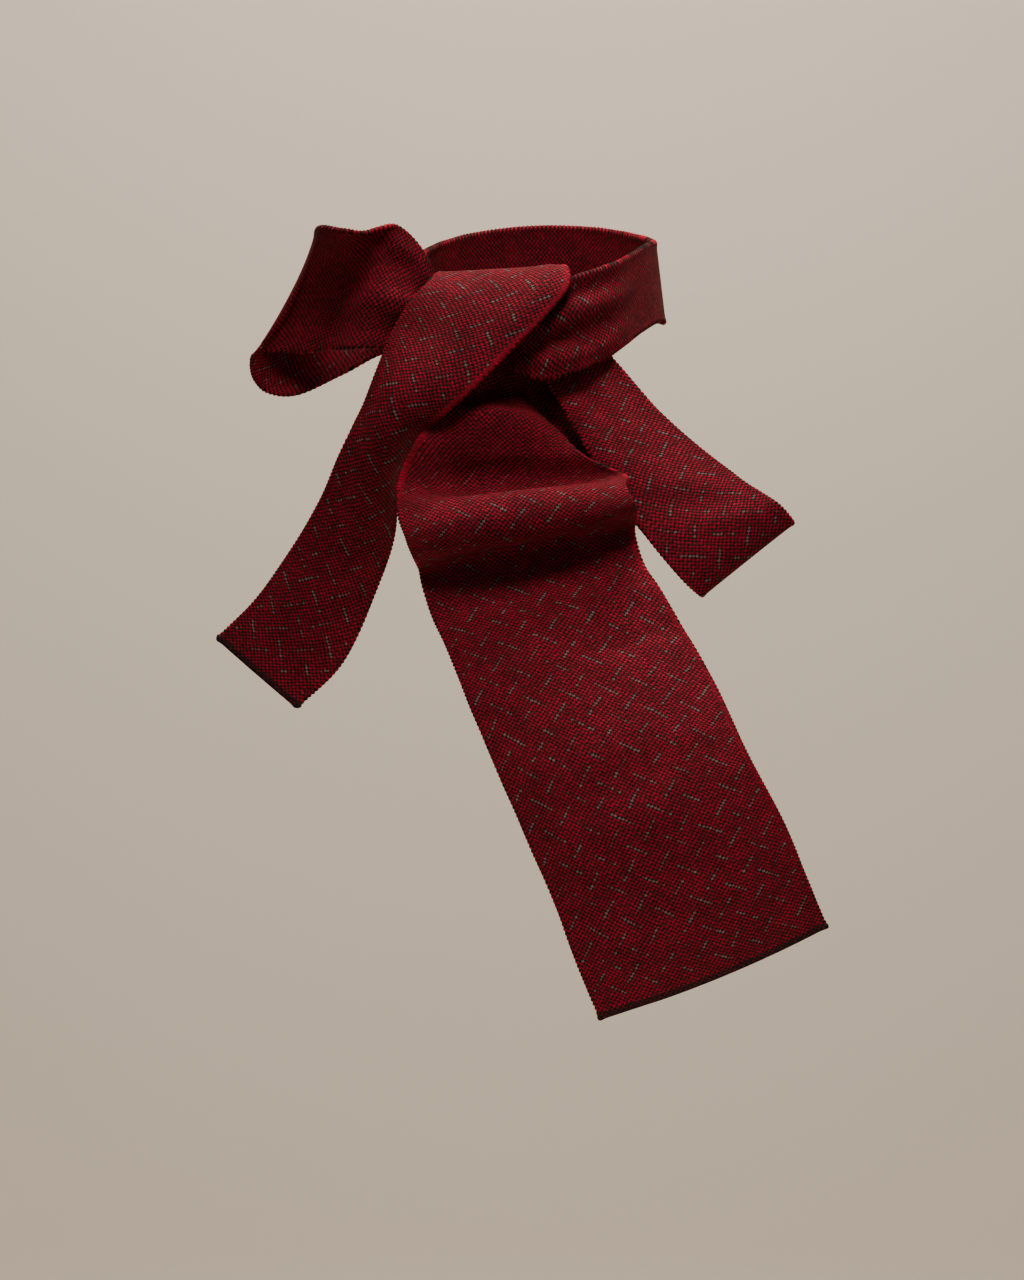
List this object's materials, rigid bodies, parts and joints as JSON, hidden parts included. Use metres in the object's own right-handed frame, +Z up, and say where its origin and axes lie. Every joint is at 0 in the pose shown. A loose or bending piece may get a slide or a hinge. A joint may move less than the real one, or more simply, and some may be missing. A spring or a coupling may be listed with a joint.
{
  "type": "knit scarf",
  "caption": "Narrow double-faced knit scarf tied in a bow at the neck, with an open loop, a flattened loop, a narrow tail and a wide tail hanging over the chest.",
  "frame": {"origin": "middle of the neck that the scarf is tied round, at the height of the neck band's middle", "axes": "+Z up along the neck, the wearer faces -Y, the wearer's left is +X"},
  "size_m": [0.2607, 0.1738, 0.3244],
  "materials": {
    "band_knit": "matte wool knit, crimson and near-black with grey flecks",
    "knot_knit": "matte wool knit, crimson and near-black",
    "loop_reverse": "matte wool knit, reverse side, crimson and near-black",
    "loop_knit": "matte wool knit, crimson and near-black with grey flecks",
    "left_tail_knit": "matte wool knit, crimson and near-black with grey flecks",
    "wide_tail_knit": "matte wool knit, crimson and near-black with grey flecks"
  },
  "bodies": {
    "root": {"neck_band": "band_knit", "knot": "knot_knit", "left_loop": "loop_reverse", "right_loop": "loop_knit", "left_tail": "left_tail_knit", "wide_tail": "wide_tail_knit"}
  },
  "joints": []
}
